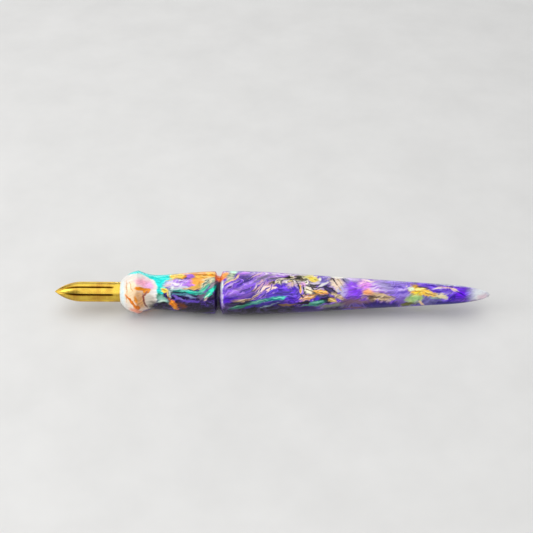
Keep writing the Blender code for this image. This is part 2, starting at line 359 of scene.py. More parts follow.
def stroke_group():
    """One swirl of colour: an ellipsoid whose edge is frayed along the flow of the resin."""
    tree = bpy.data.node_groups.new("swirl", "ShaderNodeTree")
    face = tree.interface
    for name, kind in (
        ("Under", "NodeSocketColor"),
        ("Place", "NodeSocketVector"),
        ("Streak", "NodeSocketFloat"),
        ("Centre", "NodeSocketVector"),
        ("Slant", "NodeSocketFloat"),
        ("Reach", "NodeSocketVector"),
        ("Fray", "NodeSocketFloat"),
        ("Edge", "NodeSocketFloat"),
        ("Colour", "NodeSocketColor"),
    ):
        face.new_socket(name, in_out="INPUT", socket_type=kind)
    face.new_socket("Result", in_out="OUTPUT", socket_type="NodeSocketColor")
    given = tree.nodes.new("NodeGroupInput").outputs
    result = tree.nodes.new("NodeGroupOutput")
    off = vector_node(tree, "SUBTRACT", given["Place"], given["Centre"])
    level = node(
        tree, "ShaderNodeVectorRotate", {"Vector": off, "Angle": given["Slant"]}, rotation_type="Z_AXIS"
    ).outputs[0]
    share = vector_node(tree, "DIVIDE", level, given["Reach"])
    length = node(tree, "ShaderNodeVectorMath", {0: share}, operation="LENGTH").outputs["Value"]
    frayed = math_node(tree, "MULTIPLY_ADD", given["Streak"], given["Fray"], 1.0)
    inside = math_node(tree, "SUBTRACT", frayed, length)
    half_edge = math_node(tree, "MULTIPLY", given["Edge"], -1.0)
    cover = node(
        tree,
        "ShaderNodeMapRange",
        {"Value": inside, "From Min": half_edge, "From Max": given["Edge"]},
        interpolation_type="SMOOTHSTEP",
    ).outputs[0]
    tree.links.new(mix(tree, cover, given["Under"], given["Colour"]), result.inputs[0])
    return tree


# Marbled paints: the colours that lie beside one another in a swirl's threads, in order.
PALETTES = {
    "turquoise": ("00B2B6", "00DAE0", "00EEF6", "00C6CC", "00F2FA", "00BEC4"),
    "lip": ("E4DEEC", "EEEAF6", "E9DEE2", "F0EDF8", "E0DAEA"),
    "orange": ("D46C0C", "F18E16", "F8BC3E", "EC861A", "FAD25C", "F0961E"),
    "gold": ("DDA428", "F4D83E", "FBF28C", "EEC334", "F9E75E", "E0AC2C"),
    "lilac": ("8F58DC", "B98CF0", "E4D2F8", "A672EC", "CCA2F4", "8A78D6"),
    "indigo": ("08040E", "2A1654", "10081E", "4A2C9C", "160C2C", "6450BE", "1A103A"),
    "mist": ("7E968A", "CBD6C2", "6C7A7C", "E2D4B8", "A6B6A6", "5E6472"),
    "violet": ("1C0C44", "6430E2", "3C1A98", "8452F0", "4E22C6", "AE84F4", "341680", "7048C8"),
    "deep": ("240C7C", "501CDA", "340FA4", "6630EE", "3C14B4", "5220DC"),
    "pink": ("B070B8", "F4BCCB", "6C48C0", "FCE4DE", "E0A4C0", "F8D0CC", "8E68C4"),
    "filaments": (
        "120D12", "8E7A62", "F2EAD2", "332A3A", "C6B2DA", "F8F3EC", "5C4A38", "E8D08C", "1C1622",
    ),
    "tan": ("3C2E36", "B8967A", "EACFB2", "5E4846", "CBA98A", "30242E"),
    "rose": ("B764EC", "EC9CF4", "CF7CF2", "F6C6F4", "BE74EC"),
    "green": ("9CC68A", "C8DC7C", "A4CE98", "E2EA8E", "94C090"),
    # near-black for the underside and the groove's floor: partly the resin's own dark colour, partly painted
    # shade
    "dark_resin_and_shade": ("07050A", "1A1230", "0B0810", "2E2248", "0E0A16", "3C3060", "090610"),
    "nose": ("D8DCF2", "E8ECFF", "D0CEEA", "E2E4FA"),
}

FAR_SIDE_SHEAR = 0.9  # how far the far side's layout runs on along the pen for each millimetre of depth
SWIRL_DEPTH = 4.5  # how far a swirl of no height reaches into the resin
FRAY_SCALE = 0.5  # how far the noise pushes a swirl's edge, and...
EDGE_SCALE = 1.5  # ...how wide the edge blurs, both as shares of the swirl's size
THREAD = (1.4, 0.4)  # fray and edge softness of a thin, ragged thread

# Each swirl: station, height, half length, half height, slant in degrees, paint, fray, edge softness.
# Heights are above the axis as seen from VIEW_ELEVATION. Later swirls lie over earlier ones.
GRIP_SWIRLS = (
    # turquoise over the crest and down the waist
    (30.0, 5.2, 8.2, 3.7, -4, "turquoise", 0.10, 0.05),
    (34.0, 2.0, 1.5, 3.4, -8, "turquoise", 0.15, 0.08),
    (33.2, -0.9, 0.6, 1.2, -28, "12A27E", 0.3, 0.2),
    # the pale lip
    (13.2, 0.0, 11.6, 12.0, 0, "lip", 0.05, 0.05),
    (25.5, -0.6, 7.2, 6.7, 0, "lip", 0.03, 0.03),
    (30.2, 1.9, 2.7, 2.3, -20, "lip", 0.05, 0.08),
    (24.9, -0.6, 2.6, 3.9, 0, "F6D9BE", 0.2, 0.45),
    # painted reflection: the bluish-white shine of a lamp on the left along the front ring's rim
    (21.9, -0.5, 0.7, 3.8, 0, "DCECFF", 0.1, 0.5),
    (28.9, 2.8, 2.9, 1.35, -20, "F0A6CC", 0.15, 0.4),
    (30.4, 1.9, 1.1, 1.2, 0, "EFB0EE", 0.15, 0.45),
    (27.7, -2.8, 1.7, 3.1, 8, "DCA272", 0.4, 0.5),
    (30.5, -2.6, 1.5, 2.5, 5, "D2C6C6", 0.3, 0.4),
    (31.8, -5.0, 1.2, 1.8, 10, "8E8A80", 0.2, 0.6),
    (23.3, 1.2, 0.16, 2.4, 8, "DFA271", 0.5, 0.4),
    (24.6, 1.6, 0.16, 1.6, 22, "D99A62", 0.5, 0.4),
    (23.1, -1.6, 0.14, 1.5, -6, "E5A87C", 0.5, 0.4),
    (28.2, 0.95, 2.6, 0.6, -6, "E8891A", 0.3, 0.14),
    (29.6, 0.3, 1.2, 0.7, 22, "EE9122", 0.3, 0.16),
    (29.1, -0.6, 0.26, 1.2, -42, "A05444", 0.3, 0.4),
    (28.6, -2.1, 0.26, 1.4, 4, "8A443C", 0.3, 0.4),
    (29.2, -4.0, 0.24, 1.3, 24, "7A403A", 0.3, 0.5),
    (25.0, -3.5, 2.9, 0.5, -48, "E47C14", 0.35, 0.16),
    (26.2, -2.6, 0.55, 1.3, 12, "E8902C", 0.3, 0.3),
    (26.5, -4.9, 1.0, 0.9, -40, "E87A0C", 0.3, 0.2),
    (26.3, -6.1, 2.2, 0.7, -20, "F19C86", 0.2, 0.4),
    # gold, navy and mist under the turquoise; the navy-black below is partly the resin's colour and partly
    # painted shade
    (34.6, -4.6, 3.2, 2.0, 0, "dark_resin_and_shade", 0.4, 0.25),
    (33.9, -1.3, 1.4, 0.9, -10, "3A6E66", 1.2, 0.35),
    (34.9, -2.1, 1.8, 0.9, -14, "8CC6C0", *THREAD),
    (34.2, -2.9, 1.3, 0.3, 8, "C2DEDC", 1.0, 0.4),
    (35.2, 0.6, 1.3, 0.8, -14, "gold", 1.4, 0.2),
    (36.6, -0.6, 0.4, 1.3, 16, "E9C78B", 0.9, 0.3),
    (36.8, -1.9, 0.6, 0.5, -30, "93603C", 0.4, 0.3),
    # the body of the grip
    (42.0, -2.2, 5.2, 2.3, -4, "indigo", 0.35, 0.2),
    # dark lower side of the grip: partly the resin's colour, partly painted shade
    (46.5, -4.6, 7.4, 2.1, 4, "dark_resin_and_shade", 0.3, 0.3),
    (49.6, -3.2, 2.4, 1.4, 34, "indigo", 0.5, 0.3),
    (47.6, -1.0, 1.4, 1.1, 30, "6A567A", 0.9, 0.3),
    (39.8, 2.8, 4.9, 1.45, 3, "lilac", 0.4, 0.16),
    (44.3, 3.0, 1.9, 1.2, -8, "C67DFB", 0.3, 0.35),
    (38.4, 2.9, 1.6, 0.3, -10, "EDE6F7", 1.2, 0.5),
    (36.3, 2.2, 1.2, 0.35, 18, "E2C6CE", 1.2, 0.4),
    (40.6, 1.55, 3.8, 0.35, -3, "C4C2E0", 0.9, 0.4),
    (37.8, 1.2, 0.5, 0.8, -20, "E2E6F2", 0.9, 0.4),
    (37.1, -0.1, 0.35, 1.3, 12, "B8CCD6", 1.2, 0.4),
    (46.2, 3.5, 2.4, 1.7, -6, "F0A040", 0.8, 0.2),
    (48.0, 5.8, 5.6, 1.5, -3, "orange", 0.35, 0.12),
    (45.7, 2.0, 2.2, 0.55, 14, "E9B553", 0.5, 0.2),
    (43.4, 1.15, 3.4, 0.2, 2, "DBA865", 0.5, 0.3),
    (43.6, 5.2, 1.5, 0.65, -12, "A263E4", 0.4, 0.2),
    (41.6, 6.0, 1.6, 0.4, 3, "F3AE9C", 0.3, 0.3),
    (39.4, 5.2, 2.7, 0.85, 0, "gold", 0.5, 0.12),
    (41.8, 4.9, 1.1, 0.3, 28, "D5832A", 0.5, 0.2),
    (38.4, 4.4, 2.4, 0.16, 16, "E3A070", 0.4, 0.4),
    (49.4, 3.2, 2.9, 0.95, 28, "mist", 0.7, 0.2),
    (50.8, 2.2, 1.4, 0.5, 35, "8E8193", 0.6, 0.3),
    (48.8, 4.3, 1.5, 0.3, 16, "E6CFA6", 0.5, 0.4),
    (40.6, 0.55, 3.3, 0.42, -3, "12706F", 0.8, 0.25),
    (44.6, 0.0, 2.9, 0.66, -3, "0EBCB0", 0.9, 0.2),
    (47.8, 1.1, 2.2, 0.55, 32, "4CB8A4", 1.2, 0.3),
    (50.2, 0.0, 2.4, 0.75, 44, "18E0C6", 1.0, 0.25),
    (49.2, -1.0, 1.5, 0.2, 44, "C9F5E2", 0.5, 0.3),
    (48.9, -2.1, 0.9, 0.4, 40, "BFA2AA", 0.5, 0.3),
    (41.2, -2.3, 1.7, 0.22, -18, "8A7AD8", 1.2, 0.4),
    (39.4, -1.3, 1.2, 0.35, -34, "7A5CD2", 1.2, 0.4),
    (43.6, -1.3, 1.7, 0.3, -12, "8FA4DC", 1.0, 0.4),
    (43.6, -2.8, 3.2, 0.35, -2, "5E3FC0", 1.0, 0.4),
    (40.8, -0.5, 2.6, 0.3, -6, "4E86A8", *THREAD),
    (40.0, 1.05, 2.8, 0.2, -4, "A9CFD8", *THREAD),
    (38.5, -3.7, 1.9, 0.85, -50, "E37A0F", 1.1, 0.22),
    (40.9, -4.1, 1.4, 0.9, -20, "6F3618", 0.8, 0.5),
    (38.8, -4.9, 0.8, 0.4, -20, "F09A2C", 0.4, 0.4),
    # thin threads over all of these
    (38.2, -3.3, 1.2, 0.14, -50, "F49A34", *THREAD),
    (34.6, 4.6, 2.4, 0.14, -6, "7CF8F0", *THREAD),
    (35.0, 0.8, 1.0, 0.14, -20, "B8923C", *THREAD),
    (42.6, 0.4, 2.4, 0.13, -2, "7CE8DC", *THREAD),
    (45.4, -0.3, 2.2, 0.13, 4, "08686A", *THREAD),
    (47.2, 5.5, 3.0, 0.15, -4, "C46A12", *THREAD),
    (49.4, 5.0, 2.2, 0.14, -6, "FBD57A", *THREAD),
    (40.0, 5.5, 2.0, 0.13, -2, "B8862A", *THREAD),
    (41.4, 3.3, 2.6, 0.14, 0, "8C5CD6", *THREAD),
    (48.4, 3.0, 1.9, 0.14, 30, "5A6A62", *THREAD),
    (42.4, -1.8, 2.4, 0.13, -10, "140A24", *THREAD),
    # the groove: orange on top; dark below, partly the resin's dark purple and partly painted shade in the
    # groove
    (53.1, -2.0, 1.2, 5.4, 0, "dark_resin_and_shade", 0.1, 0.15),
    (52.9, 5.2, 1.3, 2.0, 0, "EE6F1C", 0.2, 0.2),
)

BARREL_SWIRLS = (
    # bright violet, with the groove's orange running on into it
    (60.0, 1.8, 9.0, 5.0, 20, "violet", 0.3, 0.25),
    (63.0, 2.8, 5.0, 1.0, 28, "8B58F2", 0.9, 0.5),
    (57.5, 0.2, 3.4, 1.0, 20, "9A66EE", 0.9, 0.5),
    (54.9, -2.4, 1.9, 1.5, 8, "5A1FE2", 0.3, 0.3),
    (70.5, 5.7, 7.5, 1.5, 0, "lilac", 0.6, 0.3),
    (66.5, 4.6, 4.0, 0.5, 20, "7C6C9C", 0.8, 0.4),
    # painted highlight: pale streaks of a lamp on the left, down the barrel's rounded shoulder at the groove
    (54.0, 1.9, 0.45, 2.0, 0, "DDE8F0", 0.3, 0.4),
    (53.95, -1.8, 0.35, 2.6, 0, "C9BDF0", 0.3, 0.4),
    (53.4, 4.9, 1.5, 1.7, 0, "F27422", 0.2, 0.2),
    (55.2, 5.7, 1.3, 1.0, 30, "F2A155", 0.3, 0.25),
    (57.0, 5.6, 2.0, 0.85, 42, "mist", 0.5, 0.25),
    (57.6, 6.7, 1.4, 0.5, 0, "B9F2E2", 0.3, 0.4),
    (56.3, 4.0, 1.9, 0.4, 28, "9DA68F", 0.5, 0.3),
    (56.6, 3.6, 2.4, 0.24, 30, "F3C3A1", 0.4, 0.3),
    (59.0, 5.3, 0.9, 0.35, 60, "F0C6A8", 0.4, 0.3),
    (60.8, 6.4, 1.9, 0.4, 10, "BD75F2", 0.4, 0.4),
    (57.2, 2.8, 2.4, 0.22, 30, "C4A4F6", *THREAD),
    (61.5, 3.6, 3.4, 0.2, 28, "361E88", *THREAD),
    (61.0, 2.5, 3.2, 0.25, 26, "A982F2", *THREAD),
    (62.4, 1.5, 3.6, 0.22, 24, "43289C", *THREAD),
    (58.6, 0.9, 3.0, 0.25, 22, "B48EF4", *THREAD),
    (64.2, 0.5, 3.2, 0.22, 20, "3A2088", *THREAD),
    (59.4, -0.7, 3.4, 0.28, 16, "8450E4", *THREAD),
    (57.6, -1.5, 2.6, 0.3, 12, "4A24BC", *THREAD),
    (63.4, -0.1, 3.4, 1.3, 20, "3C1C98", 1.2, 0.35),
    (64.8, 1.1, 1.9, 0.45, 30, "51405A", *THREAD),
    (62.0, -0.4, 3.0, 0.2, 20, "8A5AE6", *THREAD),
    (64.8, 5.7, 2.8, 0.24, 22, "DCB8C4", 0.5, 0.3),
    (62.6, 4.8, 2.6, 0.2, 34, "3E2A7A", 0.6, 0.4),
    (66.4, 3.3, 2.4, 0.5, 30, "C6A8E0", 1.8, 0.4),
    # pink speckle and deep blue-violet
    (72.5, 0.9, 5.6, 1.9, 4, "deep", 0.5, 0.2),
    (76.2, -0.2, 2.9, 2.3, 0, "deep", 0.5, 0.3),
    (74.6, 1.4, 1.4, 0.7, 60, "6A34F2", 0.5, 0.4),
    (68.6, 2.2, 3.2, 1.5, 10, "pink", 2.0, 0.3),
    (69.4, 1.6, 1.9, 0.4, 16, "FBD9D2", 2.0, 0.3),
    (67.0, 1.6, 1.9, 0.35, 40, "F0D6E0", 1.8, 0.3),
    (67.4, 2.6, 1.0, 0.18, 48, "5A34C8", 1.6, 0.4),
    (68.8, 3.0, 1.2, 0.16, 38, "6B46C8", 1.6, 0.4),
    (70.0, 2.1, 1.0, 0.18, 58, "4E2EB8", 1.6, 0.4),
    (66.4, 1.2, 0.9, 0.16, 50, "3E2A9A", 1.6, 0.4),
    (68.2, 1.2, 1.2, 0.16, 34, "4A30B0", 1.6, 0.4),
    (70.9, 2.9, 0.9, 0.2, 56, "EBCBF2", 1.6, 0.4),
    (71.4, 1.8, 0.7, 0.2, 66, "F8DCE4", 1.6, 0.4),
    (73.2, 3.9, 3.4, 0.75, 14, "filaments", 0.9, 0.2),
    (75.8, 4.3, 2.2, 1.2, 20, "filaments", 1.0, 0.2),
    (71.0, 4.6, 2.6, 0.3, 8, "5C5076", 0.8, 0.3),
    (76.6, 2.9, 1.8, 0.8, 10, "CDA9C0", 1.2, 0.3),
    # tan, teal and indigo rising to the right, over a black underside that is partly the resin's colour and
    # partly painted shade
    (65.0, -5.9, 14.5, 2.6, 3, "dark_resin_and_shade", 0.4, 0.3),
    (59.6, -3.3, 5.0, 1.1, 8, "dark_resin_and_shade", 0.6, 0.3),
    (60.4, -2.2, 3.6, 0.5, 6, "tan", 0.9, 0.25),
    (64.8, -0.9, 1.6, 0.3, 30, "C8A898", 1.4, 0.3),
    (61.0, -1.0, 3.2, 0.5, 22, "6E3EB8", 0.8, 0.4),
    (60.8, -4.2, 4.4, 0.42, 12, "1F6E5E", 0.6, 0.25),
    (66.2, -2.6, 4.6, 0.55, 14, "429494", 0.9, 0.3),
    (71.8, -1.6, 2.6, 0.72, 8, "1FAEAE", 0.5, 0.2),
    (73.7, -1.5, 0.9, 0.5, 10, "55DED4", 0.5, 0.3),
    (66.8, -3.7, 5.6, 0.5, 14, "35288C", 0.9, 0.25),
    (72.0, -3.0, 2.6, 0.3, 16, "3B2E94", 0.9, 0.3),
    (69.0, -3.9, 3.2, 0.2, 16, "7384A0", 0.8, 0.3),
    (75.4, -3.7, 2.6, 0.38, 4, "86644F", 0.9, 0.3),
    # more of the dark underside: partly the resin's colour, partly painted shade
    (75.6, -5.0, 4.6, 0.9, 2, "dark_resin_and_shade", 0.4, 0.3),
    # black, gold and white loops
    (80.6, 4.4, 4.6, 2.3, 0, "filaments", 1.0, 0.3),
    (82.4, 1.6, 3.4, 2.0, -30, "filaments", 1.0, 0.3),
    (81.6, 5.4, 2.4, 0.6, 4, "DDD68A", 0.8, 0.2),
    (83.4, 4.6, 1.8, 1.2, -10, "gold", 1.1, 0.2),
    (85.4, 4.4, 0.5, 0.6, -10, "F4F4EA", 0.8, 0.4),
    (78.3, 4.9, 2.3, 0.34, 14, "2B2B25", 0.9, 0.2),
    (80.0, 4.2, 1.8, 0.2, 10, "5C5648", 0.8, 0.3),
    (79.8, 2.8, 0.9, 0.7, -40, "DFA5EA", 0.7, 0.3),
    (79.1, 1.2, 0.4, 1.9, 10, "E8B468", 0.9, 0.25),
    (80.4, 1.1, 0.3, 2.1, 24, "17120F", 0.9, 0.25),
    (78.3, 2.4, 0.22, 1.7, 24, "2A2026", 0.9, 0.25),
    (82.0, 1.2, 1.4, 1.3, -20, "FAF0E2", 1.3, 0.3),
    (84.8, 3.3, 2.6, 0.4, 4, "C9BCDC", 1.2, 0.3),
    (83.6, 2.2, 2.9, 0.22, -6, "3A3040", 1.0, 0.3),
    (83.0, 0.6, 2.2, 0.22, -20, "57492E", 1.0, 0.3),
    (84.6, 1.6, 2.4, 0.3, -4, "D8C4E6", 1.0, 0.3),
    (84.2, 2.8, 3.6, 0.22, 0, "2C2238", 0.9, 0.3),
    (83.2, 1.7, 0.25, 1.4, 30, "3A3440", 0.9, 0.3),
    (87.2, 3.9, 1.7, 1.0, 46, "7566C6", 0.9, 0.3),
    (87.7, 5.4, 1.1, 0.4, 6, "9163F1", 0.4, 0.4),
    (88.7, 4.3, 1.9, 0.2, 52, "221A33", 0.6, 0.3),
    (86.2, 2.0, 3.2, 0.22, 14, "2E2440", 0.9, 0.3),
    (86.8, 2.9, 2.2, 0.3, 22, "D6D3E2", 0.7, 0.3),
    (91.2, 3.3, 2.8, 2.4, -12, "E0CBC4", 0.9, 0.3),
    (90.8, 2.6, 1.1, 1.3, 14, "EDD3C8", 0.7, 0.4),
    (93.2, 1.1, 1.8, 1.7, -20, "CAC9EA", 0.9, 0.3),
    (94.3, 3.9, 1.3, 0.9, -30, "8F97B4", 0.9, 0.3),
    (90.0, 3.9, 2.3, 0.24, -52, "4C3C48", 1.0, 0.3),
    (91.9, 3.7, 2.6, 0.22, -58, "BCA48C", 1.0, 0.3),
    (93.4, 4.1, 1.9, 0.2, -50, "5A5468", 1.0, 0.3),
    # painted highlight: a white streak of the lights near the top edge
    (91.8, 5.3, 3.6, 0.35, -3, "FFFFFF", 0.3, 0.5),
    (85.6, 0.6, 2.4, 0.6, -8, "F9AE3B", 0.9, 0.2),
    (83.2, -0.5, 3.4, 0.26, 4, "A8703A", 0.6, 0.3),
    (88.9, 0.8, 2.6, 0.85, -30, "0E0A12", 0.4, 0.14),
    (88.9, 0.8, 2.0, 0.45, -30, "3A2A70", 0.4, 0.2),
    (91.6, -1.0, 2.6, 0.8, -24, "tan", 0.9, 0.25),
    (81.0, -1.6, 1.8, 1.0, 12, "F1B88F", 1.3, 0.2),
    (82.8, -1.3, 1.5, 0.5, 22, "E6A566", 0.7, 0.2),
    (79.6, -1.0, 0.8, 0.35, -40, "2A1A14", 0.7, 0.3),
    (86.6, -1.8, 3.1, 1.5, -4, "191223", 0.4, 0.16),
    (86.6, -1.9, 2.4, 1.0, -6, "indigo", 0.6, 0.3),
    (84.6, -1.6, 0.8, 0.65, 10, "4B2FDC", 0.4, 0.3),
    (89.8, -2.3, 1.4, 0.7, -20, "CBA35F", 0.9, 0.25),
    (81.6, -5.0, 4.2, 1.0, 4, "2E1168", 0.5, 0.3),
    (80.4, -3.3, 2.8, 0.5, 4, "1B1426", 0.6, 0.3),
    (84.4, -3.2, 2.4, 0.8, 12, "3F9C90", 0.6, 0.2),
    (81.2, -3.9, 1.8, 0.2, 12, "4F8A70", 0.6, 0.3),
    (91.0, -3.7, 5.4, 0.8, 6, "7C8078", 1.2, 0.4),
    # the dark underside again: partly the resin's colour, partly painted shade
    (89.0, -5.0, 4.4, 0.8, 6, "dark_resin_and_shade", 0.6, 0.4),
    # lilac and pink, with a peach spot over tan filaments
    (97.2, 1.2, 3.9, 3.4, 0, "8F47F3", 0.4, 0.35),
    (97.4, 0.4, 2.0, 1.4, 0, "7A2AEE", 0.8, 0.4),
    (96.6, 4.5, 2.2, 0.9, -10, "C7B0F2", 0.5, 0.4),
    (103.6, 2.4, 4.4, 2.5, -4, "lilac", 0.6, 0.35),
    (99.8, 3.0, 1.9, 1.6, -20, "rose", 0.6, 0.35),
    (101.0, 4.2, 1.9, 0.35, -3, "FFE4F3", 0.6, 0.3),
    (107.0, 2.6, 3.0, 1.5, -20, "A294DC", 0.8, 0.4),
    (112.0, 1.0, 3.3, 3.6, 0, "9678EA", 0.8, 0.4),
    (111.6, 0.4, 2.6, 0.4, 14, "6C4CD6", *THREAD),
    (113.0, 1.6, 2.2, 0.25, 8, "BFA8F4", *THREAD),
    (110.6, 2.2, 2.4, 0.25, -6, "5A3EB6", *THREAD),
    (109.2, 3.8, 3.6, 0.5, -4, "9A80F0", 0.6, 0.4),
    (112.6, -1.9, 2.2, 1.4, 10, "7557BC", 0.6, 0.4),
    (97.6, -2.6, 5.0, 1.3, 0, "70506F", 0.9, 0.4),
    (101.5, -4.1, 8.0, 1.2, 1, "indigo", 0.6, 0.4),
    (106.0, -3.6, 5.2, 0.8, 3, "2B187C", 0.6, 0.4),
    (97.0, -4.4, 3.0, 0.35, 0, "75496C", 0.7, 0.5),
    (104.6, -1.0, 4.6, 1.35, -4, "tan", 1.0, 0.3),
    (104.0, -0.2, 3.2, 0.35, -6, "D8B48E", 0.9, 0.3),
    (100.9, 0.6, 1.8, 1.0, -16, "FAA777", 0.5, 0.35),
    (102.4, -0.9, 2.6, 0.18, -8, "3E2C30", 0.9, 0.3),
    (105.6, -1.7, 2.4, 0.24, 2, "E3C3A4", 0.9, 0.3),
    # gold and green, then saturated violet
    (121.5, -2.3, 4.4, 1.4, 2, "7068B4", 0.6, 0.3),
    (127.0, -2.9, 6.2, 0.75, 3, "2C1C8C", 0.5, 0.3),
    (127.0, -0.2, 5.4, 1.9, -2, "deep", 0.8, 0.25),
    (127.2, 0.5, 3.0, 0.4, 4, "8E70EC", *THREAD),
    (125.6, 1.1, 2.2, 0.25, -4, "6C52D8", *THREAD),
    (131.0, 0.7, 2.4, 1.7, -8, "6A17F2", 0.4, 0.35),
    (121.4, 2.6, 6.0, 0.7, -3, "7C50F0", 0.6, 0.3),
    (121.6, 2.9, 2.4, 0.2, 0, "3412A8", 0.6, 0.3),
    (115.3, -1.7, 1.8, 1.5, 10, "A9BE8E", 1.3, 0.4),
    (116.6, -0.9, 1.9, 1.6, 10, "green", 0.9, 0.3),
    (113.8, -3.1, 2.9, 0.5, 8, "605F30", 0.7, 0.3),
    (117.0, 1.1, 3.1, 1.5, -8, "gold", 0.9, 0.2),
    (120.4, 0.2, 2.8, 0.95, -18, "EEBC40", 1.0, 0.2),
    (117.6, 1.6, 1.8, 0.35, -6, "FAF19A", 1.2, 0.3),
    (117.2, 0.1, 1.4, 0.16, 30, "8E9A3A", 0.9, 0.3),
    (122.6, -0.4, 2.0, 0.6, -14, "DFB46A", 1.2, 0.25),
    (124.8, -0.7, 1.9, 0.8, -10, "E6DAB6", 1.2, 0.25),
    (122.2, -1.3, 2.2, 0.24, -6, "8FA6AC", 0.7, 0.3),
    # painted glint: a pale mint highlight on the gold
    (114.9, 1.7, 1.1, 0.6, -10, "E4F8EA", 0.8, 0.5),
    (118.0, -2.7, 1.3, 0.3, -30, "EBC6AA", 0.8, 0.3),
    (123.2, 1.9, 1.6, 0.3, 4, "EADCD4", 0.9, 0.3),
    (126.4, 2.1, 3.0, 0.26, -10, "CFA5B8", 0.8, 0.3),
    (128.9, 1.3, 1.2, 0.4, -22, "EBCBC2", 0.8, 0.3),
    (130.4, 0.5, 2.0, 0.22, -24, "2C0E9C", 0.6, 0.3),
    (126.8, 3.0, 4.6, 0.3, -5, "A3A3CC", 0.5, 0.4),
    # thin threads over all of these
    (62.0, -3.5, 2.8, 0.14, 14, "0F4C50", *THREAD),
    (69.4, -2.1, 2.8, 0.15, 10, "0E6E78", *THREAD),
    (72.2, -1.4, 1.6, 0.14, 8, "8CECE4", *THREAD),
    (58.6, -4.4, 2.2, 0.14, 12, "6CB49C", *THREAD),
    (66.2, -2.5, 2.2, 0.13, 14, "8CCAC0", *THREAD),
    (61.0, -2.3, 2.4, 0.13, 8, "5E4234", *THREAD),
    (63.9, -1.4, 1.5, 0.13, 26, "6A4A44", *THREAD),
    (83.0, 5.0, 1.4, 0.14, -6, "C89A28", *THREAD),
    (84.0, 4.3, 1.1, 0.13, -14, "9A7A24", *THREAD),
    (85.2, 0.8, 1.9, 0.14, -6, "FFD78A", *THREAD),
    (86.4, 0.3, 1.6, 0.13, -10, "96541C", *THREAD),
    (81.4, -1.3, 1.5, 0.15, 14, "FFE0C6", *THREAD),
    (80.8, -2.0, 1.3, 0.13, 12, "7E4632", *THREAD),
    (84.2, -2.9, 1.9, 0.14, 12, "84CEC0", *THREAD),
    (84.8, -3.5, 1.7, 0.14, 14, "1A524C", *THREAD),
    (89.7, -2.1, 1.1, 0.14, -26, "F4DE9C", *THREAD),
    (91.4, 2.2, 1.5, 0.12, -56, "C6A69C", *THREAD),
    (82.2, 0.9, 1.3, 0.14, -30, "A08A64", *THREAD),
    (74.4, 0.2, 2.6, 0.16, 6, "1E0C6E", *THREAD),
    (76.6, -0.9, 2.2, 0.15, -4, "7A4CF4", *THREAD),
    (73.6, 1.8, 1.9, 0.15, 12, "8A5CFA", *THREAD),
    (97.6, 2.0, 2.2, 0.16, -8, "B98AFA", *THREAD),
    (96.8, -0.8, 2.4, 0.15, 4, "4A1CB4", *THREAD),
    (101.2, 0.2, 1.4, 0.15, -14, "C87444", *THREAD),
    (104.2, -1.4, 2.4, 0.14, -4, "80604C", *THREAD),
    (116.2, -0.4, 1.1, 0.12, 22, "D2D896", *THREAD),
    (117.8, 0.9, 2.0, 0.14, -12, "C0841C", *THREAD),
    (119.8, 0.6, 1.6, 0.12, -16, "F2DC7C", *THREAD),
    (121.2, -0.2, 1.4, 0.13, -16, "9A6C20", *THREAD),
    (128.6, -0.6, 2.6, 0.15, 2, "3A16B0", *THREAD),
    # the pale nose
    (139.6, 0.2, 6.2, 4.6, 0, "nose", 0.15, 0.25),
    (137.6, -0.6, 1.6, 0.9, 12, "E2CBE4", 0.5, 0.5),
    (135.4, -2.1, 2.6, 0.5, 14, "9A8BB8", 0.5, 0.5),
)


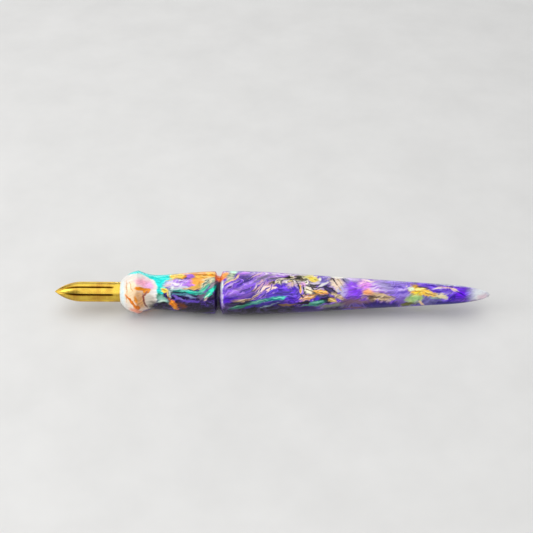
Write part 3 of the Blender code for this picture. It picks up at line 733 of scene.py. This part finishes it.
def resin_material(name, swirls, ground):
    """Glossy resin, poured in pearly colours: swirls laid over a marbled ground, all bent by one flow."""
    material, tree, shader, points = new_material(name)
    turn = Matrix.Rotation(VIEW_ELEVATION - math.pi / 2, 3, "X")
    start = turn @ (Vector((TIP, 0, AXIS_Z)) / MM)
    flat = node(
        tree,
        "ShaderNodeMapping",
        {"Vector": points, "Location": -start, "Rotation": turn.to_euler(), "Scale": (1 / MM,) * 3},
    ).outputs[0]

    # The far side repeats the near side's layout, sheared along the pen so that the two differ.
    parts = node(tree, "ShaderNodeSeparateXYZ", {0: flat})
    depth = math_node(tree, "ABSOLUTE", parts.outputs[2])
    behind = math_node(tree, "MINIMUM", parts.outputs[2], 0.0)
    along = math_node(tree, "MULTIPLY_ADD", behind, FAR_SIDE_SHEAR, parts.outputs[0])
    folded = node(tree, "ShaderNodeCombineXYZ", {0: along, 1: parts.outputs[1], 2: depth}).outputs[0]

    def bent(where, scale, reach, detail):
        """The place, pushed about by slow noise."""
        push = vector_node(tree, "SUBTRACT", noise(tree, flat, scale, detail, output=1), (0.5,) * 3)
        return vector_node(tree, "ADD", where, vector_node(tree, "MULTIPLY", push, (reach,) * 3))

    def threads(size, slant, detail):
        """Noise drawn out into threads of about this length, width and depth, which follow the curls."""
        drawn_out = node(
            tree,
            "ShaderNodeMapping",
            {"Vector": curls, "Rotation": (0, 0, math.radians(slant)), "Scale": size},
            vector_type="TEXTURE",
        ).outputs[0]
        return noise(tree, drawn_out, 1.0, detail, 0.6)

    # The flow moves whole swirls a little. The curls, within them, are much stronger.
    flow = bent(bent(folded, 0.16, 0.9, 1.0), 0.6, 1.0, 1.5)
    curls = bent(bent(flow, 0.12, 5.0, 0.0), 0.34, 1.7, 0.0)
    silk = threads((3.6, 0.55, 0.9), 20, 1.5)
    folds = math_node(tree, "MULTIPLY_ADD", silk, 0.12, threads((11.0, 3.0, 4.2), 22, 2.0))
    marbling = smooth_step(tree, folds, 0.36, 0.76)
    fray = math_node(tree, "MULTIPLY_ADD", threads((4.4, 0.8, 1.3), 20, 2.0), 4.0, -2.0)

    paints = {}

    def paint(name):
        """A palette's marbled colours, or one colour by its hexadecimal name."""
        if name not in PALETTES:
            return shade(name)
        if name not in paints:
            colours = PALETTES[name]
            stops = [(i / (len(colours) - 1), colour) for i, colour in enumerate(colours)]
            paints[name] = ramp(tree, marbling, stops)
        return paints[name]

    colour = paint(ground)
    group = stroke_group()
    for station, height, half_length, half_height, slant, swirl_paint, ragged, softness in swirls:
        radius = max(surface_radius(station), abs(height))
        nearer = math.sqrt(radius ** 2 - height ** 2)
        centre = (station + nearer * (PEN_LENGTH / 2 - station) / VIEW_DISTANCE, height, nearer)
        colour = node(
            tree,
            "ShaderNodeGroup",
            {
                "Under": colour,
                "Place": flow,
                "Streak": fray,
                "Centre": centre,
                "Slant": math.radians(-slant),
                "Reach": (half_length, half_height, SWIRL_DEPTH + half_height),
                "Fray": FRAY_SCALE * ragged,
                "Edge": EDGE_SCALE * softness,
                "Colour": paint(swirl_paint),
            },
            node_tree=group,
        ).outputs[0]

    # Pearl: the pigment shimmers lighter and darker in bands and silky threads, with a few thin, dark veins.
    # The palest colours show least of both.
    brightness = node(tree, "ShaderNodeRGBToBW", {0: colour}).outputs[0]
    strength = smooth_step(tree, brightness, 0.3, 0.75, 1.0, 0.25)
    bands = smooth_step(tree, threads((6.0, 0.9, 1.5), 18, 1.5), 0.36, 0.64, -0.2, 0.14)
    shimmer = math_node(tree, "ADD", bands, smooth_step(tree, silk, 0.3, 0.7, -0.18, 0.14))
    shimmer = math_node(tree, "MULTIPLY_ADD", shimmer, strength, 1.0)
    less_blue = math_node(tree, "MULTIPLY", shimmer, 0.86)
    glow = node(tree, "ShaderNodeCombineXYZ", {0: shimmer, 1: shimmer, 2: less_blue}).outputs[0]
    colour = mix(tree, 1.0, colour, glow, "MULTIPLY")
    vein = math_node(tree, "ABSOLUTE", math_node(tree, "SUBTRACT", threads((7.0, 1.6, 2.4), 24, 1.0), 0.44))
    vein = math_node(tree, "MULTIPLY", smooth_step(tree, vein, 0.002, 0.02, 0.2, 0.0), strength)
    colour = mix(tree, vein, colour, shade("1C1430"))

    fleck = noise(tree, flat, 9.0, 2.0, 0.6)
    bump = node(
        tree,
        "ShaderNodeBump",
        {"Strength": 0.06, "Distance": 0.05 * MM, "Height": math_node(tree, "ADD", silk, fleck)},
    ).outputs[0]
    link_inputs(tree, shader, {
        "Base Color": colour,
        "Metallic": smooth_step(tree, silk, 0.4, 0.75, 0.0, 0.18),
        "Roughness": smooth_step(tree, fleck, 0.3, 0.7, 0.3, 0.45),
        "Normal": bump,
    })
    set_inputs(shader, {
        "Specular IOR Level": 0.1, "Coat Weight": 0.6, "Coat Roughness": 0.09, "Coat IOR": 1.38,
    })
    return material


# Brass and rubber -------------------------------------------------------------------------------------

def brass_material(name, bright, deep, roughness, marks):
    """Turned brass: faint rings of tool marks round the pen's axis, and painted shade, dark brown, deep in
    any groove.
    """
    material, tree, shader, points = new_material(name)
    squashed = node(
        tree, "ShaderNodeMapping", {"Vector": points, "Scale": (1 / MM, 0.06 / MM, 0.06 / MM)}
    ).outputs[0]
    flat = node(tree, "ShaderNodeMapping", {"Vector": points, "Scale": (1 / MM,) * 3}).outputs[0]
    rings = noise(tree, squashed, 5.0, 4.0, 0.65)
    cloud = noise(tree, flat, 0.35, 3.0, 0.55)
    tint = ramp(tree, cloud, [(0.35, deep), (0.62, bright)])
    brass_colour = mix(tree, smooth_step(tree, rings, 0.35, 0.7, 0.0, 0.3), tint, shade(bright))
    buried = node(tree, "ShaderNodeAttribute", attribute_name=GROOVE).outputs["Fac"]
    # painted shade: the flutes turn dark brown, and a little rougher, the deeper they go
    painted_flute_shade = smooth_step(tree, buried, 0.32, 0.95, 0.0, 0.93)
    brass_colour = mix(tree, painted_flute_shade, brass_colour, shade("3A1A08"))
    bump = node(
        tree, "ShaderNodeBump", {"Strength": 0.2, "Distance": marks * MM, "Height": rings}
    ).outputs[0]
    rough = smooth_step(tree, rings, 0.3, 0.7, roughness - 0.04, roughness + 0.06)
    rough = math_node(tree, "MULTIPLY_ADD", painted_flute_shade, 0.25, rough)
    link_inputs(tree, shader, {"Base Color": brass_colour, "Roughness": rough, "Normal": bump})
    set_inputs(shader, {"Metallic": 1.0})
    return material


def rubber_material():
    """Black rubber with a fine grain and a little dust."""
    material, tree, shader, points = new_material("o_ring_rubber")
    grain = noise(tree, points, 6000.0, 3.0, 0.6)
    dust = noise(tree, points, 900.0, 2.0)
    bump = node(tree, "ShaderNodeBump", {"Strength": 0.3, "Distance": 0.02 * MM, "Height": grain})
    link_inputs(tree, shader, {
        "Base Color": ramp(tree, dust, [(0.3, "161616"), (0.75, "2B2A29")]),
        "Roughness": smooth_step(tree, grain, 0.3, 0.7, 0.5, 0.7),
        "Normal": bump.outputs[0],
    })
    return material


# The pen ----------------------------------------------------------------------------------------------

def build_pen():
    """The three visible pieces, and better materials for the inner ones."""
    inner = NIB_RADIUS + NIB_CLEARANCE
    grip = [(GRIP_FRONT + SOFT_RIM, inner), (GRIP_FRONT, inner + SOFT_RIM), *grip_surface()]
    grip += [(GRIP_END, BORE_RADIUS), (GRIP_BORE_START, BORE_RADIUS), (GRIP_BORE_START, inner)]
    piece(
        turned(grip, closed=True), "grip_resin_body", "grip_half", "grip",
        resin_material("marbled_resin_grip", GRIP_SWIRLS, "indigo"),
    )
    bore_tip = BARREL_BORE_END + BORE_RADIUS * math.tan(DRILL_SLOPE)
    barrel = [(bore_tip, 0), (BARREL_BORE_END, BORE_RADIUS), (BARREL_START, BORE_RADIUS)]
    barrel += barrel_surface()
    piece(
        turned(barrel, closed=False), "barrel_resin_body", "barrel_half", "barrel",
        resin_material("marbled_resin_barrel", BARREL_SWIRLS, "violet"),
    )
    gold = brass_material("satin_gold_brass", "DCBC4C", "C0903A", 0.3, 0.004)
    piece(nib_mesh(), "fluted_nib", "nib", "nib", gold, sharp=28)

    machined = brass_material("machined_brass", "DDB45C", "B98A3A", 0.33, 0.02)
    rubber = rubber_material()
    for name, material in (
        ("nib_socket", machined),
        ("joint_stud", machined),
        ("barrel_insert", machined),
        ("nib_o_ring", rubber),
        ("joint_o_ring", rubber),
    ):
        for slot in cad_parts[name].material_slots:
            slot.material = material


# The studio -------------------------------------------------------------------------------------------

FLOOR_HALF_SIZE = 2.0
FLOOR_GAP = 0.1 * MM
BACKGROUND = (0.93, 0.96, 1.0, 1.0)
BACKGROUND_LIGHT = 0.26  # what it gives the scene
BACKGROUND_SEEN = 0.76  # how bright it looks to the camera


def area_light(name, location, size, power):
    """A soft, white rectangular light that faces the pen."""
    data = bpy.data.lights.new(name, "AREA")
    data.shape = "RECTANGLE"
    data.size, data.size_y = size
    data.energy = power
    light = bpy.data.objects.new(name, data)
    light.location = location
    aim = Vector((0, 0, AXIS_Z)) - light.location
    light.rotation_euler = aim.to_track_quat("-Z", "Y").to_euler()
    bpy.context.scene.collection.objects.link(light)


def build_floor():
    """A wide, pale, matt floor just under the pen."""
    material, tree, shader, points = new_material("pale_floor")
    mottle = noise(tree, points, 40.0, 3.0, 0.6)
    link_inputs(tree, shader, {"Base Color": ramp(tree, mottle, [(0.3, "D4D3D1"), (0.7, "DAD9D7")])})
    set_inputs(shader, {"Roughness": 0.95, "Specular IOR Level": 0.15})
    bm = bmesh.new()
    bmesh.ops.create_grid(bm, x_segments=8, y_segments=8, size=FLOOR_HALF_SIZE)
    mesh = bpy.data.meshes.new("floor")
    bm.to_mesh(mesh)
    bm.free()
    mesh.materials.append(material)
    floor = bpy.data.objects.new("floor", mesh)
    floor.location.z = -FLOOR_GAP
    bpy.context.scene.collection.objects.link(floor)


def build_lights():
    """Four soft boxes round the pen, and a pale background."""
    area_light("top_softbox", (-0.1, 0.05, 0.55), (1.0, 1.0), 3.9)
    area_light("front_fill", (0.05, -0.6, 0.4), (0.5, 0.5), 1.6)
    area_light("left_softbox", (-0.58, -0.14, 0.26), (0.3, 0.5), 1.4)
    area_light("back_strip", (0.0, 0.65, 0.08), (0.9, 0.05), 0.9)

    world = bpy.data.worlds.new("studio")
    world.use_nodes = True
    tree = world.node_tree
    background = tree.nodes["Background"]
    background.inputs["Color"].default_value = BACKGROUND
    seen = node(tree, "ShaderNodeLightPath").outputs["Is Camera Ray"]
    brighter = BACKGROUND_SEEN - BACKGROUND_LIGHT
    strength = math_node(tree, "MULTIPLY_ADD", seen, brighter, BACKGROUND_LIGHT)
    link_inputs(tree, background, {"Strength": strength})
    bpy.context.scene.world = world
    bpy.context.scene.view_settings.view_transform = "Standard"


def build_camera():
    """Looks along +Y from above. The pen lies a little low and right of the middle, tipped slightly."""
    data = bpy.data.cameras.new("camera")
    data.sensor_width = 36.0
    data.lens = 69.6
    data.clip_start = 0.01
    camera = bpy.data.objects.new("camera", data)
    bpy.context.scene.collection.objects.link(camera)
    back = Vector((0, -math.cos(VIEW_ELEVATION), math.sin(VIEW_ELEVATION)))
    camera.location = Vector((0, 0, AXIS_Z)) + back * VIEW_DISTANCE * MM
    look = (-back).to_track_quat("-Z", "Y").to_matrix()
    # up a little, to the side and over
    for degrees, axis in ((1.4731, "X"), (0.3114, "Y"), (0.42, "Z")):
        look = look @ Matrix.Rotation(math.radians(degrees), 3, axis)
    camera.rotation_euler = look.to_euler()
    bpy.context.scene.camera = camera


build_pen()
build_floor()
build_lights()
build_camera()
